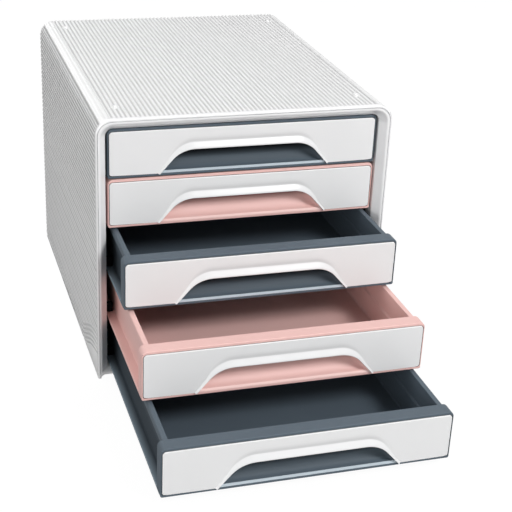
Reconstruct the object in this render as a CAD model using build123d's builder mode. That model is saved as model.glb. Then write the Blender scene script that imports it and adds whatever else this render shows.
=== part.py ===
# A desktop unit of five sliding drawers in a ribbed casing, three of them pulled out in steps.
# Millimetres, +Z up, the drawers open towards -Y. The origin is on the floor, under the middle of
# the whole length that the unit takes up with its drawers as they stand.
import os

from build123d import *

os.makedirs("parts", exist_ok=True)

# Casing
casing_width = 288.0
casing_depth = 358.0
casing_height = 267.0
casing_corner = 16.0
shell_wall = 2.5
side_wall_lift = 0.6
rear_notch = 5.0
fit_gap = 0.1

# Grooves that leave the ribs of the casing standing between them
groove_width = 2.6
groove_depth = 0.5
top_rib_pitch = 4.4
side_rib_pitch = 4.7
smooth_band = 2.0
smooth_foot = 12.0

# Four pips on the top
pip_radius = 2.0
pip_height = 0.8
pip_land = 4.5
pip_from_side = 25.0
pip_from_front = 37.0
pip_from_back = 32.0

# Front bezel
bezel_edge = 2.6
bezel_round = 1.8
bezel_side = 10.8
bezel_top = 10.4
bezel_skin = 2.2
bevel_width = 6.3
bevel_foot = 1.5
opening_corner = 7.5
foot_width = 2.8
foot_sweep = 5.0

# Base, back and feet
base_lift = 4.9
base_thickness = 2.4
back_thickness = 2.5
back_inset = 0.2
pad_radius = 7.0
pad_height = 2.9
pad_chamfer = 0.5
pad_sunk = 1.0
pad_gap = 0.2
pad_boss_wall = 2.8
pad_from_side = 21.0
pad_from_end = 24.0

# Drawers: how far the three lowest stand out, and how much of a tray the runners always hold
third_out = 74.0
fourth_out = 152.0
fifth_out = 227.0
held_length = 88.3
side_gap = 1.8
top_gap = 1.6
bottom_gap = 0.7
drawer_gap = 1.1
lowest_drawer = 9.6
rear_gap = 4.0

# Front block of a tray and the fascia that covers it
fascia_recess = 8.0
fascia_thickness = 2.5
fascia_proud = 0.6
fascia_gap = 0.15
fascia_corner = 3.2
frame_side = 2.4
frame_top = 3.1
frame_bottom = 2.9
block_depth = 15.0
block_corner = 5.2
low_corner = 1.8
fascia_round = 0.5
seat_width = 1.6

# Cut-out of the fascia over the finger grip, and the lip that flares out around it
grip_height = 23.0
grip_half_bottom = 82.0
grip_half_top = 62.0
grip_radius = 28.0
lip_stand = 2.8
lip_rise = 7.0
lip_side = 4.0
lip_edge = 0.8
scoop_margin = 3.0
scoop_headroom = 10.0
scoop_roll = 2.2
scoop_lift = 2.4
scoop_overcut = 1.0

# Pegs of the fascia in the tray's bosses
peg_radius = 2.0
peg_length = 7.5
peg_gap = 0.1
peg_boss_wall = 1.8
peg_from_end = 14.0
peg_from_edge = 9.0

# Tub of a tray
tray_wall = 2.2
floor_thickness = 2.2
rim_drop = 1.0
rim_width = 5.2
rim_inset = 4.4
rim_thickness = 2.0
rim_turn = 5.0
rim_round = 1.0
crease_step = 1.4
crease_share = 0.52
flange_thickness = 2.4

# Runners
panel_thickness = 2.0
ledge_thickness = 2.0
ledge_reach = 4.8
run_gap = 0.3
lift_gap = 0.5
rib_count = 5
rib_thickness = 2.0
stop_length = 5.0
stop_reach = 3.4
stop_height = 9.0
lug_length = 6.0
lug_height = 6.0
lug_low = 6.0
lug_inset = 1.4

# Sizes that follow, the drawers counted from the top one to the lowest
pulled_out = (0.0, 0.0, third_out, fourth_out, fifth_out)
drawer_count = len(pulled_out)
opening_half = casing_width / 2 - bezel_side
opening_top = casing_height - bezel_top
opening_bottom = lowest_drawer - bottom_gap
block_half = opening_half - side_gap
drawer_pitch = (opening_top - top_gap - lowest_drawer + drawer_gap) / drawer_count
block_height = drawer_pitch - drawer_gap
fascia_half = block_half - frame_side
shell_inside = casing_width / 2 - shell_wall
inner_half = shell_inside - fit_gap
inner_top = casing_height - shell_wall - fit_gap
inner_corner = casing_corner - shell_wall - fit_gap
back_front_face = casing_depth - back_inset - back_thickness
tray_length = back_front_face - rear_gap - fascia_recess
travel = tray_length - held_length
runner_front = fascia_recess + block_depth + run_gap
sleeve_end = runner_front
furthest_out = max(0.0, max(pulled_out) + lip_stand - fascia_recess)
front = (furthest_out - casing_depth) / 2
flange_half = block_half
rim_half = block_half - rim_inset
rim_inner = rim_half - rim_width
rim_top = block_height - rim_drop


def across(y):
    """An upright plane across the unit, y behind the casing's front, with X and Z as its axes."""
    return Plane(origin=(0, front + y, 0), x_dir=(1, 0, 0), z_dir=(0, -1, 0))


def tray_across(y):
    """The same in a tray's own frame, whose front is at y = 0 and whose underside is at z = 0."""
    return Plane(origin=(0, y, 0), x_dir=(1, 0, 0), z_dir=(0, -1, 0))


def arch(half, bottom, top, radius):
    """An outline that stands on a straight bottom edge, with its two top corners rounded."""
    with BuildSketch() as outline:
        with BuildLine():
            FilletPolyline((-half, bottom), (-half, top), (half, top), (half, bottom), radius=radius)
            Line((half, bottom), (-half, bottom))
        make_face()
    return outline.sketch


def shell_section():
    """The shell's section without its grooves."""
    with BuildSketch() as outline:
        add(arch(casing_width / 2, side_wall_lift, casing_height, casing_corner))
        inside = arch(shell_inside, side_wall_lift, casing_height - shell_wall, casing_corner - shell_wall)
        add(inside, mode=Mode.SUBTRACT)
    return outline.sketch


def opening(grown, dropped):
    """The casing's opening, grown at its sides and top and dropped at its foot."""
    return arch(opening_half + grown, opening_bottom - dropped, opening_top + grown, opening_corner + grown)


def panel(half, bottom, top, top_radius, bottom_radius):
    """A rectangle with one radius at its top corners and another at its bottom corners."""
    with BuildSketch() as outline:
        with Locations((0, (bottom + top) / 2)):
            Rectangle(2 * half, top - bottom)
        fillet(outline.vertices().group_by(Axis.Y)[-1], radius=top_radius)
        fillet(outline.vertices().group_by(Axis.Y)[0], radius=bottom_radius)
    return outline.sketch


def grip_outline(side_margin, rise):
    """The cut-out over the finger grip, widened at its sides and raised at its top."""
    low, high = frame_bottom, frame_bottom + grip_height + rise
    half_low, half_high = grip_half_bottom + side_margin, grip_half_top + side_margin
    with BuildSketch() as outline:
        with BuildLine():
            FilletPolyline(
                (-half_low, low), (-half_high, high), (half_high, high), (half_low, low),
                radius=grip_radius + side_margin,
            )
            Line((half_low, low), (-half_low, low))
        make_face()
    return outline.sketch


def evenly(low, high, pitch):
    """Places at an even pitch, centred between low and high."""
    count = int((high - low) / pitch)
    start = (low + high - count * pitch) / 2
    return [start + index * pitch for index in range(count + 1)]


def drawer_bottom(number):
    """Height of the underside of a drawer, where drawer 1 is the top one."""
    return lowest_drawer + (drawer_count - number) * drawer_pitch


def finish(piece, name):
    """Names a piece and writes it."""
    piece.label = name
    export_step(piece, f"parts/{name}.step")
    print(f"{name:22s} {piece.volume / 1000:8.1f} cm3")


# Outer shell: the top and both sides, ribbed from front to back behind a smooth front band
groove_line = casing_width / 2 - casing_corner
with BuildPart() as outer_shell:
    with BuildSketch(across(bezel_edge)):
        add(shell_section())
    extrude(amount=-smooth_band)
    with BuildSketch(across(bezel_edge + smooth_band)):
        add(shell_section())
        with Locations(*[(x, casing_height) for x in evenly(-groove_line, groove_line, top_rib_pitch)]):
            Rectangle(groove_width, 2 * groove_depth, mode=Mode.SUBTRACT)
        side_heights = evenly(side_wall_lift + smooth_foot, casing_height - casing_corner, side_rib_pitch)
        for side in (-1, 1):
            with Locations(*[(side * casing_width / 2, z) for z in side_heights]):
                Rectangle(2 * groove_depth, groove_width, mode=Mode.SUBTRACT)
    extrude(amount=-(casing_depth - bezel_edge - smooth_band))
    pip_x = casing_width / 2 - pip_from_side
    pip_places = [
        (side * pip_x, front + y) for side in (-1, 1) for y in (pip_from_front, casing_depth - pip_from_back)
    ]
    with BuildSketch(Plane.XY.offset(casing_height - 2 * groove_depth)):
        with Locations(*pip_places):
            Circle(pip_land)
    extrude(amount=2 * groove_depth)
    with BuildSketch(Plane.XY.offset(casing_height - groove_depth)):
        with Locations(*pip_places):
            Circle(pip_radius)
    extrude(amount=groove_depth + pip_height)
    rear_low_edges = outer_shell.edges().filter_by(Axis.X).group_by(Axis.Z)[0].group_by(Axis.Y)[-1]
    chamfer(rear_low_edges, length=rear_notch)
finish(outer_shell.part, "outer_shell")

# Front bezel: a frame that plugs into the shell, bevelled in towards the drawers, on two feet
foot_inner = casing_width / 2 - foot_width
with BuildPart() as front_bezel:
    with BuildSketch(across(0)):
        with BuildLine():
            FilletPolyline(
                (-foot_inner, side_wall_lift), (-casing_width / 2, side_wall_lift),
                (-casing_width / 2, casing_height), (casing_width / 2, casing_height),
                (casing_width / 2, side_wall_lift), (foot_inner, side_wall_lift),
                radius=[0, casing_corner, casing_corner, 0],
            )
            for side in (-1, 1):
                TangentArc(
                    (side * (foot_inner - foot_sweep), base_lift), (side * foot_inner, side_wall_lift),
                    tangent=(side, 0),
                )
            Line((foot_inner - foot_sweep, base_lift), (foot_sweep - foot_inner, base_lift))
        make_face()
    extrude(amount=-bezel_edge)
    front_edges = front_bezel.faces().sort_by(Axis.Y)[0].edges()
    above_the_feet = front_edges.filter_by(lambda edge: edge.center().Z > lowest_drawer)
    fillet(above_the_feet, radius=bezel_round)
    with BuildSketch(across(bezel_edge)):
        add(arch(inner_half, base_lift, inner_top, inner_corner))
    extrude(amount=-(sleeve_end - bezel_edge))
    with BuildSketch(across(fascia_recess + bezel_skin)):
        add(arch(inner_half - bezel_skin, opening_bottom, inner_top - bezel_skin, inner_corner - bezel_skin))
        add(opening(bezel_skin, 0), mode=Mode.SUBTRACT)
    extrude(amount=-sleeve_end, mode=Mode.SUBTRACT)
    with BuildSketch(across(0)):
        add(opening(bevel_width, bevel_foot))
    with BuildSketch(across(fascia_recess)):
        add(opening(0, 0))
    loft(mode=Mode.SUBTRACT)
    with BuildSketch(across(fascia_recess)):
        add(opening(0, 0))
    extrude(amount=-sleeve_end, mode=Mode.SUBTRACT)
finish(front_bezel.part, "front_bezel")

# Back panel, inside the rear end of the shell
with BuildPart() as back_panel:
    with BuildSketch(across(back_front_face)):
        add(arch(inner_half, base_lift, inner_top, inner_corner))
    extrude(amount=-back_thickness)
finish(back_panel.part, "back_panel")

# Base panel: carries the lowest drawer on two rails and stands on four bossed pads
ledge_x = opening_half - ledge_reach / 2
ledge_y = front + (runner_front + tray_length) / 2
pad_x = casing_width / 2 - pad_from_side
pad_places = [
    (side * pad_x, front + y)
    for side in (-1, 1)
    for y in (sleeve_end + pad_from_end - pad_radius, back_front_face - pad_from_end)
]
boss_radius = pad_radius + pad_gap + pad_boss_wall
boss_foot = pad_height - pad_sunk
with BuildPart() as base_panel:
    with BuildSketch(Plane.XY.offset(base_lift)):
        with Locations((0, front + (sleeve_end + back_front_face) / 2)):
            Rectangle(2 * inner_half, back_front_face - sleeve_end)
    extrude(amount=base_thickness)
    with BuildSketch(Plane.XY.offset(base_lift + base_thickness)):
        with Locations(*[(side * ledge_x, ledge_y) for side in (-1, 1)]):
            Rectangle(ledge_reach, tray_length - runner_front)
    extrude(amount=lowest_drawer - run_gap - base_lift - base_thickness)
    with BuildSketch(Plane.XY.offset(boss_foot)):
        with Locations(*pad_places):
            Circle(boss_radius)
    extrude(amount=base_lift - boss_foot)
    with BuildSketch(Plane.XY.offset(boss_foot)):
        with Locations(*pad_places):
            Circle(pad_radius + pad_gap)
    extrude(amount=pad_sunk, mode=Mode.SUBTRACT)
finish(base_panel.part, "base_panel")

# Rubber pads in the bosses
with BuildPart() as foot_pad:
    Cylinder(pad_radius, pad_height, align=(Align.CENTER, Align.CENTER, Align.MIN))
    chamfer(foot_pad.edges().group_by(Axis.Z)[0], length=pad_chamfer)
for corner, (x, y) in zip(("front_left", "rear_left", "front_right", "rear_right"), pad_places):
    finish(Pos(x, y, 0) * foot_pad.part, f"foot_pad_{corner}")

# Runner panels: a ledge under and a guide over each drawer's flange, with a stop near the front
panel_low = base_lift + base_thickness
with BuildPart() as runner_panel:
    with BuildSketch(Plane.XY.offset(panel_low)):
        with Locations((opening_half + panel_thickness / 2, front + (sleeve_end + back_front_face) / 2)):
            Rectangle(panel_thickness, back_front_face - sleeve_end)
    extrude(amount=opening_top - panel_low)
    rib_depth = shell_inside - opening_half - panel_thickness
    rib_ends = (front + sleeve_end + rib_thickness / 2, front + back_front_face - rib_thickness / 2)
    with BuildSketch(Plane.XY.offset(panel_low)):
        for index in range(rib_count):
            y = rib_ends[0] + (rib_ends[1] - rib_ends[0]) * index / (rib_count - 1)
            with Locations((opening_half + panel_thickness + rib_depth / 2, y)):
                Rectangle(rib_depth, rib_thickness)
    extrude(amount=opening_top - panel_low - casing_corner)
    for number in range(1, drawer_count + 1):
        guide_low = drawer_bottom(number) + flange_thickness + lift_gap
        if number < drawer_count:
            with BuildSketch(Plane.XY.offset(drawer_bottom(number) - run_gap)):
                with Locations((ledge_x, ledge_y)):
                    Rectangle(ledge_reach, tray_length - runner_front)
            extrude(amount=-ledge_thickness)
        with BuildSketch(Plane.XY.offset(guide_low)):
            with Locations((ledge_x, ledge_y)):
                Rectangle(ledge_reach, tray_length - runner_front)
        extrude(amount=ledge_thickness)
        with BuildSketch(Plane.XY.offset(guide_low)):
            with Locations((ledge_x - stop_reach / 2, front + runner_front + stop_length / 2)):
                Rectangle(ledge_reach + stop_reach, stop_length)
        extrude(amount=stop_height)
finish(runner_panel.part, "runner_panel_right")
finish(mirror(runner_panel.part, about=Plane.YZ), "runner_panel_left")

# Tray: front block with the finger scoop, and the tub behind it, all one moulding
scoop_half = grip_half_bottom + scoop_margin
block_back = block_depth - tray_wall
scoop_top = frame_bottom + grip_height + scoop_headroom
scoop_mouth = fascia_proud - scoop_overcut
chamber_low = frame_bottom + seat_width
chamber_high = block_height - frame_top - seat_width
crease_z = crease_share * rim_top
lug_front = runner_front + stop_length + run_gap - fascia_recess + travel
wall_low_outer = rim_inner - crease_step + tray_wall
peg_places = [
    (side * (fascia_half - peg_from_end), z)
    for side in (-1, 1)
    for z in (frame_bottom + peg_from_edge, block_height - frame_top - peg_from_edge)
]
with BuildPart() as tray:
    with BuildSketch(tray_across(fascia_proud)):
        add(panel(block_half, 0, block_height, block_corner, low_corner))
    extrude(amount=fascia_proud - block_depth)
    with BuildSketch(tray_across(0)):
        seat_low, seat_high = frame_bottom - fascia_gap, block_height - frame_top + fascia_gap
        add(panel(fascia_half + fascia_gap, seat_low, seat_high, fascia_corner, low_corner))
    extrude(amount=-fascia_thickness, mode=Mode.SUBTRACT)
    with BuildSketch(tray_across(fascia_thickness)):
        chamber_middle = (scoop_half + tray_wall + fascia_half - seat_width) / 2
        chamber_width = fascia_half - seat_width - scoop_half - tray_wall
        for side in (-1, 1):
            with Locations((side * chamber_middle, (chamber_low + chamber_high) / 2)):
                Rectangle(chamber_width, chamber_high - chamber_low)
    extrude(amount=fascia_thickness - block_back, mode=Mode.SUBTRACT)
    with BuildSketch(Plane.YZ.offset(-scoop_half)):
        with BuildLine():
            roll_top = frame_bottom + scoop_lift
            Line((scoop_mouth, scoop_top), (block_back - scoop_roll, scoop_top))
            TangentArc(
                (block_back - scoop_roll, scoop_top), (block_back, scoop_top - scoop_roll), tangent=(1, 0),
            )
            Line((block_back, scoop_top - scoop_roll), (block_back, frame_bottom + grip_height))
            EllipticalCenterArc(
                (fascia_proud + scoop_roll, frame_bottom + grip_height),
                block_back - fascia_proud - scoop_roll, grip_height - scoop_lift,
                start_angle=270, arc_size=90,
            )
            TangentArc(
                (fascia_proud + scoop_roll, roll_top), (fascia_proud, roll_top - scoop_roll), tangent=(-1, 0),
            )
            Line((fascia_proud, roll_top - scoop_roll), (scoop_mouth, roll_top - scoop_roll))
            Line((scoop_mouth, roll_top - scoop_roll), (scoop_mouth, scoop_top))
        make_face()
    extrude(amount=2 * scoop_half, mode=Mode.SUBTRACT)
    with BuildSketch(tray_across(fascia_thickness)):
        with Locations(*peg_places):
            Circle(peg_radius + peg_gap + peg_boss_wall)
    extrude(amount=fascia_thickness - block_back)
    with BuildSketch(tray_across(fascia_thickness)):
        with Locations(*peg_places):
            Circle(peg_radius + peg_gap)
    extrude(amount=-(peg_length + peg_gap), mode=Mode.SUBTRACT)
    with BuildSketch(tray_across(block_depth)):
        with BuildLine():
            Polyline(
                (0, 0), (flange_half, 0), (flange_half, flange_thickness), (wall_low_outer, flange_thickness),
                (wall_low_outer, crease_z), (rim_inner + tray_wall, crease_z + crease_step),
                (rim_inner + tray_wall, rim_top - rim_thickness),
                (rim_half - rim_thickness, rim_top - rim_thickness),
                (rim_half - rim_thickness, rim_top - rim_turn), (rim_half, rim_top - rim_turn),
                (rim_half, rim_top), (rim_inner, rim_top), (rim_inner, crease_z + crease_step),
                (rim_inner - crease_step, crease_z), (rim_inner - crease_step, floor_thickness),
                (0, floor_thickness),
            )
            mirror(about=Plane.YZ)
        make_face()
    extrude(amount=block_depth - tray_length)
    with BuildSketch(tray_across(tray_length - rim_width)):
        with Locations((0, (floor_thickness + rim_top) / 2)):
            Rectangle(2 * rim_inner, rim_top - floor_thickness)
    extrude(amount=-tray_wall)
    with BuildSketch(Plane.XY.offset(rim_top - rim_thickness)):
        with Locations((0, tray_length - rim_width / 2)):
            Rectangle(2 * rim_inner, rim_width)
    extrude(amount=rim_thickness)
    with BuildSketch(Plane.XY.offset(lug_low)):
        lug_half = rim_half - lug_inset / 2
        for side in (-1, 1):
            with Locations((side * (wall_low_outer + lug_half) / 2, lug_front + lug_length / 2)):
                Rectangle(lug_half - wall_low_outer, lug_length)
    extrude(amount=lug_height)
    lengthwise = tray.edges().filter_by(Axis.Y)
    rim_edges = lengthwise.filter_by(lambda edge: abs(edge.center().Z - rim_top) < rim_drop / 2)
    fillet(rim_edges, radius=rim_round)

# Fascia: the front plate with its flared grip lip, and four pegs behind it
with BuildPart() as fascia:
    with BuildSketch(tray_across(0)):
        add(panel(fascia_half, frame_bottom, block_height - frame_top, fascia_corner, low_corner))
    extrude(amount=-fascia_thickness)
    fillet(fascia.faces().sort_by(Axis.Y)[0].edges(), radius=fascia_round)
    with BuildSketch(tray_across(0)):
        add(grip_outline(lip_side, lip_rise))
    with BuildSketch(tray_across(-lip_stand)):
        add(grip_outline(lip_edge, lip_edge))
    loft()
    with BuildSketch(tray_across(-lip_stand - lip_edge)):
        add(grip_outline(0, 0))
    extrude(amount=-(lip_stand + lip_edge + fascia_thickness), mode=Mode.SUBTRACT)
    with BuildSketch(tray_across(fascia_thickness)):
        with Locations(*peg_places):
            Circle(peg_radius)
    extrude(amount=-peg_length)

# One tray and one fascia for each drawer, each as far out as it stands
for number, opened in enumerate(pulled_out, start=1):
    place = Pos(0, front + fascia_recess - opened, drawer_bottom(number))
    finish(place * tray.part, f"tray_{number}")
    finish(place * fascia.part, f"fascia_{number}")

print(f"travel {travel:.1f}, drawer pitch {drawer_pitch:.2f}, casing front at y = {front:.1f}")
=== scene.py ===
import math

import bmesh
import bpy
from mathutils import Matrix, Vector


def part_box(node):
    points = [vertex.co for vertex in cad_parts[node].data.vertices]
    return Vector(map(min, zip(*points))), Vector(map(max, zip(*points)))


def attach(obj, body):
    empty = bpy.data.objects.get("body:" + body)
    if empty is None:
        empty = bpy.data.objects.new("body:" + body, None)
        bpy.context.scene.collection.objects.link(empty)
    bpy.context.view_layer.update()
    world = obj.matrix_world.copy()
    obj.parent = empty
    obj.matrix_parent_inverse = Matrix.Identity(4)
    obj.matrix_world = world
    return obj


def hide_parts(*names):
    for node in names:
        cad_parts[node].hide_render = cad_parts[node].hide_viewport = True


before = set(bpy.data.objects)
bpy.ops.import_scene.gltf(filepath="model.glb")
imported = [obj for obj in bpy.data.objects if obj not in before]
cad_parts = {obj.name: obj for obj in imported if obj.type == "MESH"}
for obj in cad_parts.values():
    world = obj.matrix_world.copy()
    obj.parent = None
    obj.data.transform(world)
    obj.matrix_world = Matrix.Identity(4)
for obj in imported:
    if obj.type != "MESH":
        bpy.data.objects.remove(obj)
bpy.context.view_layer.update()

MM = 0.001

# Small measures, and how far a cutter overruns what it cuts
same_place = 0.001 * MM
hair = 0.05 * MM
mark_margin = 0.1 * MM
least_radius = 0.3 * MM
cut_overrun = 5.0 * MM

# Places read from the frame
shell_low, shell_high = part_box("outer_shell")
bezel_low, bezel_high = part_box("front_bezel")
front = bezel_low.y
rear = shell_high.y
half_width = shell_high.x
casing_top = bezel_high.z
casing_foot = shell_low.z
drawers = range(1, 6)

# Casing
casing_corner = 16 * MM
shell_wall = 2.5 * MM
bezel_edge = 2.6 * MM
smooth_band = 2.0 * MM
rear_notch = 5.0 * MM
fold_step = 0.002 * MM
flat_half = half_width - casing_corner
shoulder = casing_top - casing_corner
corner_arc = casing_corner * math.pi / 2

# Grooves between the ribs. The section's points are shares of a groove's width and of its depth;
# a groove round the corner is the angle from the top in degrees and its share of the depth.
groove_section = (
    (-0.5, 0.0), (-0.38, 0.3), (-0.22, 0.82), (0.0, 1.0), (0.22, 0.82), (0.38, 0.3), (0.5, 0.0),
)
groove_width = 2.9 * MM
side_groove_width = 2.6 * MM
side_width_from = 0.6
groove_depth = 1.25 * MM
# Painted shade in the grooves: its share on the top, and how fast it grows to full on the sides
top_groove_shade = 0.36
groove_shade_power = 4
low_groove_shares = (1.0, 0.4, 0.6, 0.4)
low_side_height = 190.0 * MM
low_side_ramp = 60.0 * MM
top_rib_pitch = 4.4 * MM
side_rib_pitch = 5.0 * MM
smooth_foot = 12.0 * MM
grooves_in_foot = 4
corner_grooves = ((8, 0.45), (22, 0.3), (35, 0.12), (50, 0.9), (60.2, 0.6), (70, 0.62), (80, 0.8))

# Where the shell's section stands: close together where the grooves run in, then at even steps
groove_run_in = ((0.0, 0.0), (0.7 * MM, 0.3), (1.6 * MM, 0.75), (2.8 * MM, 1.0))
station_step = 6.0 * MM
station_steps = range(2, 19)

# Bare patch near the front corner: the lowest side grooves rise over it, and the ones above end on
# the topmost of them
patch_top = smooth_foot + 4.0 * MM
patch_rise = 30.5 * MM
patch_start = 90.0 * MM
patch_squeeze = 0.9 * MM
patch_fade = 1.6 * MM
patch_sunk_step = 0.4 * MM
# Share of the grooves' painted shade taken off over the bare patch
patch_shade_cut = 0.66

# Pips on the top, each on a smooth round land
pip_radius = 2.0 * MM
pip_height = 0.8 * MM
pip_sink = 0.2 * MM
pip_land = 4.2 * MM
pip_land_depth = 1.6 * MM
pip_softening = 0.35 * MM
pip_from_side = 25.0 * MM
pip_from_front = 37.0 * MM
pip_from_back = 32.0 * MM

# Fascia and the cut-out of its grip
fascia_thickness = 2.5 * MM
fascia_round = 0.7 * MM
fascia_corner = 3.2 * MM
fascia_low_corner = 1.8 * MM
fascia_growth = 0.8 * MM
grip_height = 23.0 * MM
grip_half_bottom = 82.0 * MM
grip_half_top = 62.0 * MM
grip_radius = 28.0 * MM
grip_slope = (grip_half_bottom - grip_half_top) / grip_height
flank_points, arc_points, crown_points = 8, 14, 4

# Lip round the cut-out, thinner towards its two tips. Each row is the share of the lip's width,
# how far it stands out in millimetres, below zero in the shallow dish over the lip, and the share
# of the drop of its tips.
lip_rows = (
    (1.90, 0.00, 0.0), (1.45, -0.06, 0.0), (1.18, -0.12, 0.0), (1.00, -0.12, 0.0),
    (0.92, -0.04, 0.0), (0.85, 0.16, 0.2), (0.77, 0.42, 0.5), (0.60, 1.04, 0.8), (0.40, 1.78, 1.0),
    (0.22, 2.40, 1.0), (0.12, 2.66, 1.0), (0.04, 2.79, 1.0), (-0.02, 2.80, 1.0), (-0.07, 2.66, 1.0),
    (-0.09, 2.40, 1.0),
)
lip_root_share = -0.08
lip_root_drop = 0.6
lip_stand = 2.8 * MM
lip_rise = 6.4 * MM
lip_side = 4.6 * MM
lip_tip_drop = 1.0 * MM
lip_tip_share = 0.42
lip_tip_stand = 0.55
lip_taper_start = 3
lip_taper = 19
# Painted shade on the plate over the lip, for the first rows, where the plate dips a little
dish_shades = (0.0, 0.45, 0.95, 0.9, 0.5)
dish_fade_power = 3

# Front bezel. The crest's points are the depth behind the front and how much wider the opening is
# there than the bevel would make it.
bezel_round = 1.5 * MM
bezel_line_inset = 1.5 * MM
bezel_line_width = 0.8 * MM
bezel_line_depth = 1.7 * MM
bezel_line_drop = 0.7 * MM
bezel_overrun = 1.0 * MM
parting_width = 0.5 * MM
parting_depth = 0.9 * MM
parting_softening = 0.1 * MM
parting_step = 0.02 * MM
bezel_side = 10.3 * MM
bezel_top = 11.1 * MM
bevel_width = 6.3 * MM
bevel_foot = 1.5 * MM
bevel_crest = (
    (-1.0 * MM, 2.6 * MM), (0.0, 0.95 * MM), (0.12 * MM, 0.52 * MM), (0.4 * MM, 0.2 * MM),
    (0.9 * MM, 0.04 * MM), (1.5 * MM, 0.0),
)
fascia_recess = 8.0 * MM
opening_corner = 7.5 * MM
opening_low_gap = 0.7 * MM
foot_width = 2.8 * MM
foot_sweep = 5.0 * MM
foot_steps = 6
base_lift = 4.9 * MM
fit_gap = 0.1 * MM
sleeve_overlap = 0.5 * MM
sleeve_end = bezel_high.y - front
inner_half = half_width - shell_wall - fit_gap
opening_half = half_width - bezel_side
opening_top = casing_top - bezel_top
opening_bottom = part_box("tray_5")[0].z - opening_low_gap

# Trays, each in its own frame: its fascia's front plane at y = 0 and its underside at z = 0
tray_low, tray_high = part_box("tray_1")
plate_low, plate_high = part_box("fascia_1")
block_half = tray_high.x
block_height = tray_high.z - tray_low.z
block_front = 0.6 * MM
block_depth = 15.0 * MM
block_corner = 5.2 * MM
block_low_corner = 1.8 * MM
block_round = 0.8 * MM
tray_wall = 2.2 * MM
block_back = block_depth - tray_wall
tray_length = tray_high.y - tray_low.y + block_front

# Recess for the fascia, wider at its mouth
fascia_half = plate_high.x + fascia_growth
fascia_gap = 0.15 * MM
seat_gap = 0.45 * MM
seat_step_start = fascia_thickness - 0.5 * MM
seat_step_end = fascia_thickness - 0.4 * MM
frame_bottom = plate_low.z - tray_low.z
frame_top = tray_high.z - plate_high.z
grip_top = frame_bottom + grip_height

# Finger scoop, the sill under the cut-out, the painted shade under the lip and the painted
# highlight on its roll
scoop_headroom = 10.0 * MM
scoop_margin = 2.0 * MM
scoop_close = 7.0 * MM
scoop_roll = 2.2 * MM
scoop_lift = 2.0 * MM
roll_foot = frame_bottom + scoop_lift - scoop_roll
scoop_high_radius = 16.0 * MM
scoop_low_radius = 1.0 * MM
roll_radius_gain = 2.0 * MM
hollow_radius_gain = 1.5 * MM
sill_clearance = 0.5 * MM
sill_height = 3.4 * MM
sill_root = 1.0 * MM
sill_sunk = 0.6 * MM
shade_low = 16.0 * MM
shade_high = 8.0 * MM
shade_end = 21.0 * MM
shade_fade = 3.0 * MM
shade_least = 0.3
shade_margin = 0.5 * MM
roll_highlight_end = 4.0 * MM
roll_highlight_rising = (0.1, 0.9)
roll_highlight_facing = -0.05

# Tub behind the block, with its flanges, its rim and its stop lugs
floor_thickness = 2.2 * MM
floor_round = 2.0 * MM
cavity_corner = 3.0 * MM
cavity_front_corner = 1.0 * MM
tub_start = 6.0 * MM
cavity_start = tub_start + 3.0 * MM
cavity_overrun = 3.0 * MM
flange_half = block_half - 0.1 * MM
flange_foot = 0.1 * MM
flange_thickness = 2.4 * MM
# Flange faces that face down less than this take the painted sheen
flange_sheen_facing = -0.3
rim_inset = 4.4 * MM
rim_width = 5.2 * MM
rim_thickness = 2.0 * MM
rim_turn = 6.5 * MM
rim_round = 0.7 * MM
rim_top = block_height - 1.0 * MM
rim_under = rim_top - rim_thickness
rim_end = rim_top - rim_turn
rim_half = block_half - rim_inset
rim_inner = rim_half - rim_width
crease_step = 1.4 * MM
crease_softening = 0.5 * MM
crease_slant = 0.1 * MM
crease_share = 0.52
crease_z = crease_share * rim_top
floor_half = rim_inner - crease_step
side_wall = floor_half + tray_wall
lug_low = 6.0 * MM
lug_size = 6.0 * MM
lug_root = 0.5 * MM
lug_round = 0.5 * MM
lug_half = rim_half - 0.7 * MM
lug_front = 275.6 * MM

# Camera, fitted to the photograph's edges
camera_azimuth = -17.96
camera_elevation = 25.68
camera_roll = 2.73
camera_distance = 1213.44 * MM
camera_target = Vector((13.79 * MM, front, 97.65 * MM))
camera_focal = 1229.68
image_side = 512
image_middle_row = 276
sensor_width = 36.0

# Lamps: place and aim in millimetres, size in metres, power in watts
lamps = {
    "key": ((900, -1550, 1550), (0, 0, 100), (0.6, 0.6), 30.5),
    "overhead": ((-380, 100, 1500), (-100, 100, 130), (0.6, 0.6), 5.4),
    "rim": ((-450, 1700, 700), (-140, 100, 255), (0.5, 0.36), 1.35),
    "front_fill": ((-1500, -1900, 600), (0, 0, 120), (1.4, 1.0), 9.3),
    "left": ((-2200, -1100, 450), (0, 60, 130), (1.2, 1.2), 8.3),
}

# Surround: its mean level, and how much brighter it is to the right than to the left
surround_level = 0.33
surround_slope = 0.0

# Floor: its tone to the lamps, and its glow to the camera
floor_size = 6.0
floor_tone = 0.4
floor_roughness = 0.6
floor_glow = 1.12
floor_glow_share = 0.86
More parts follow.
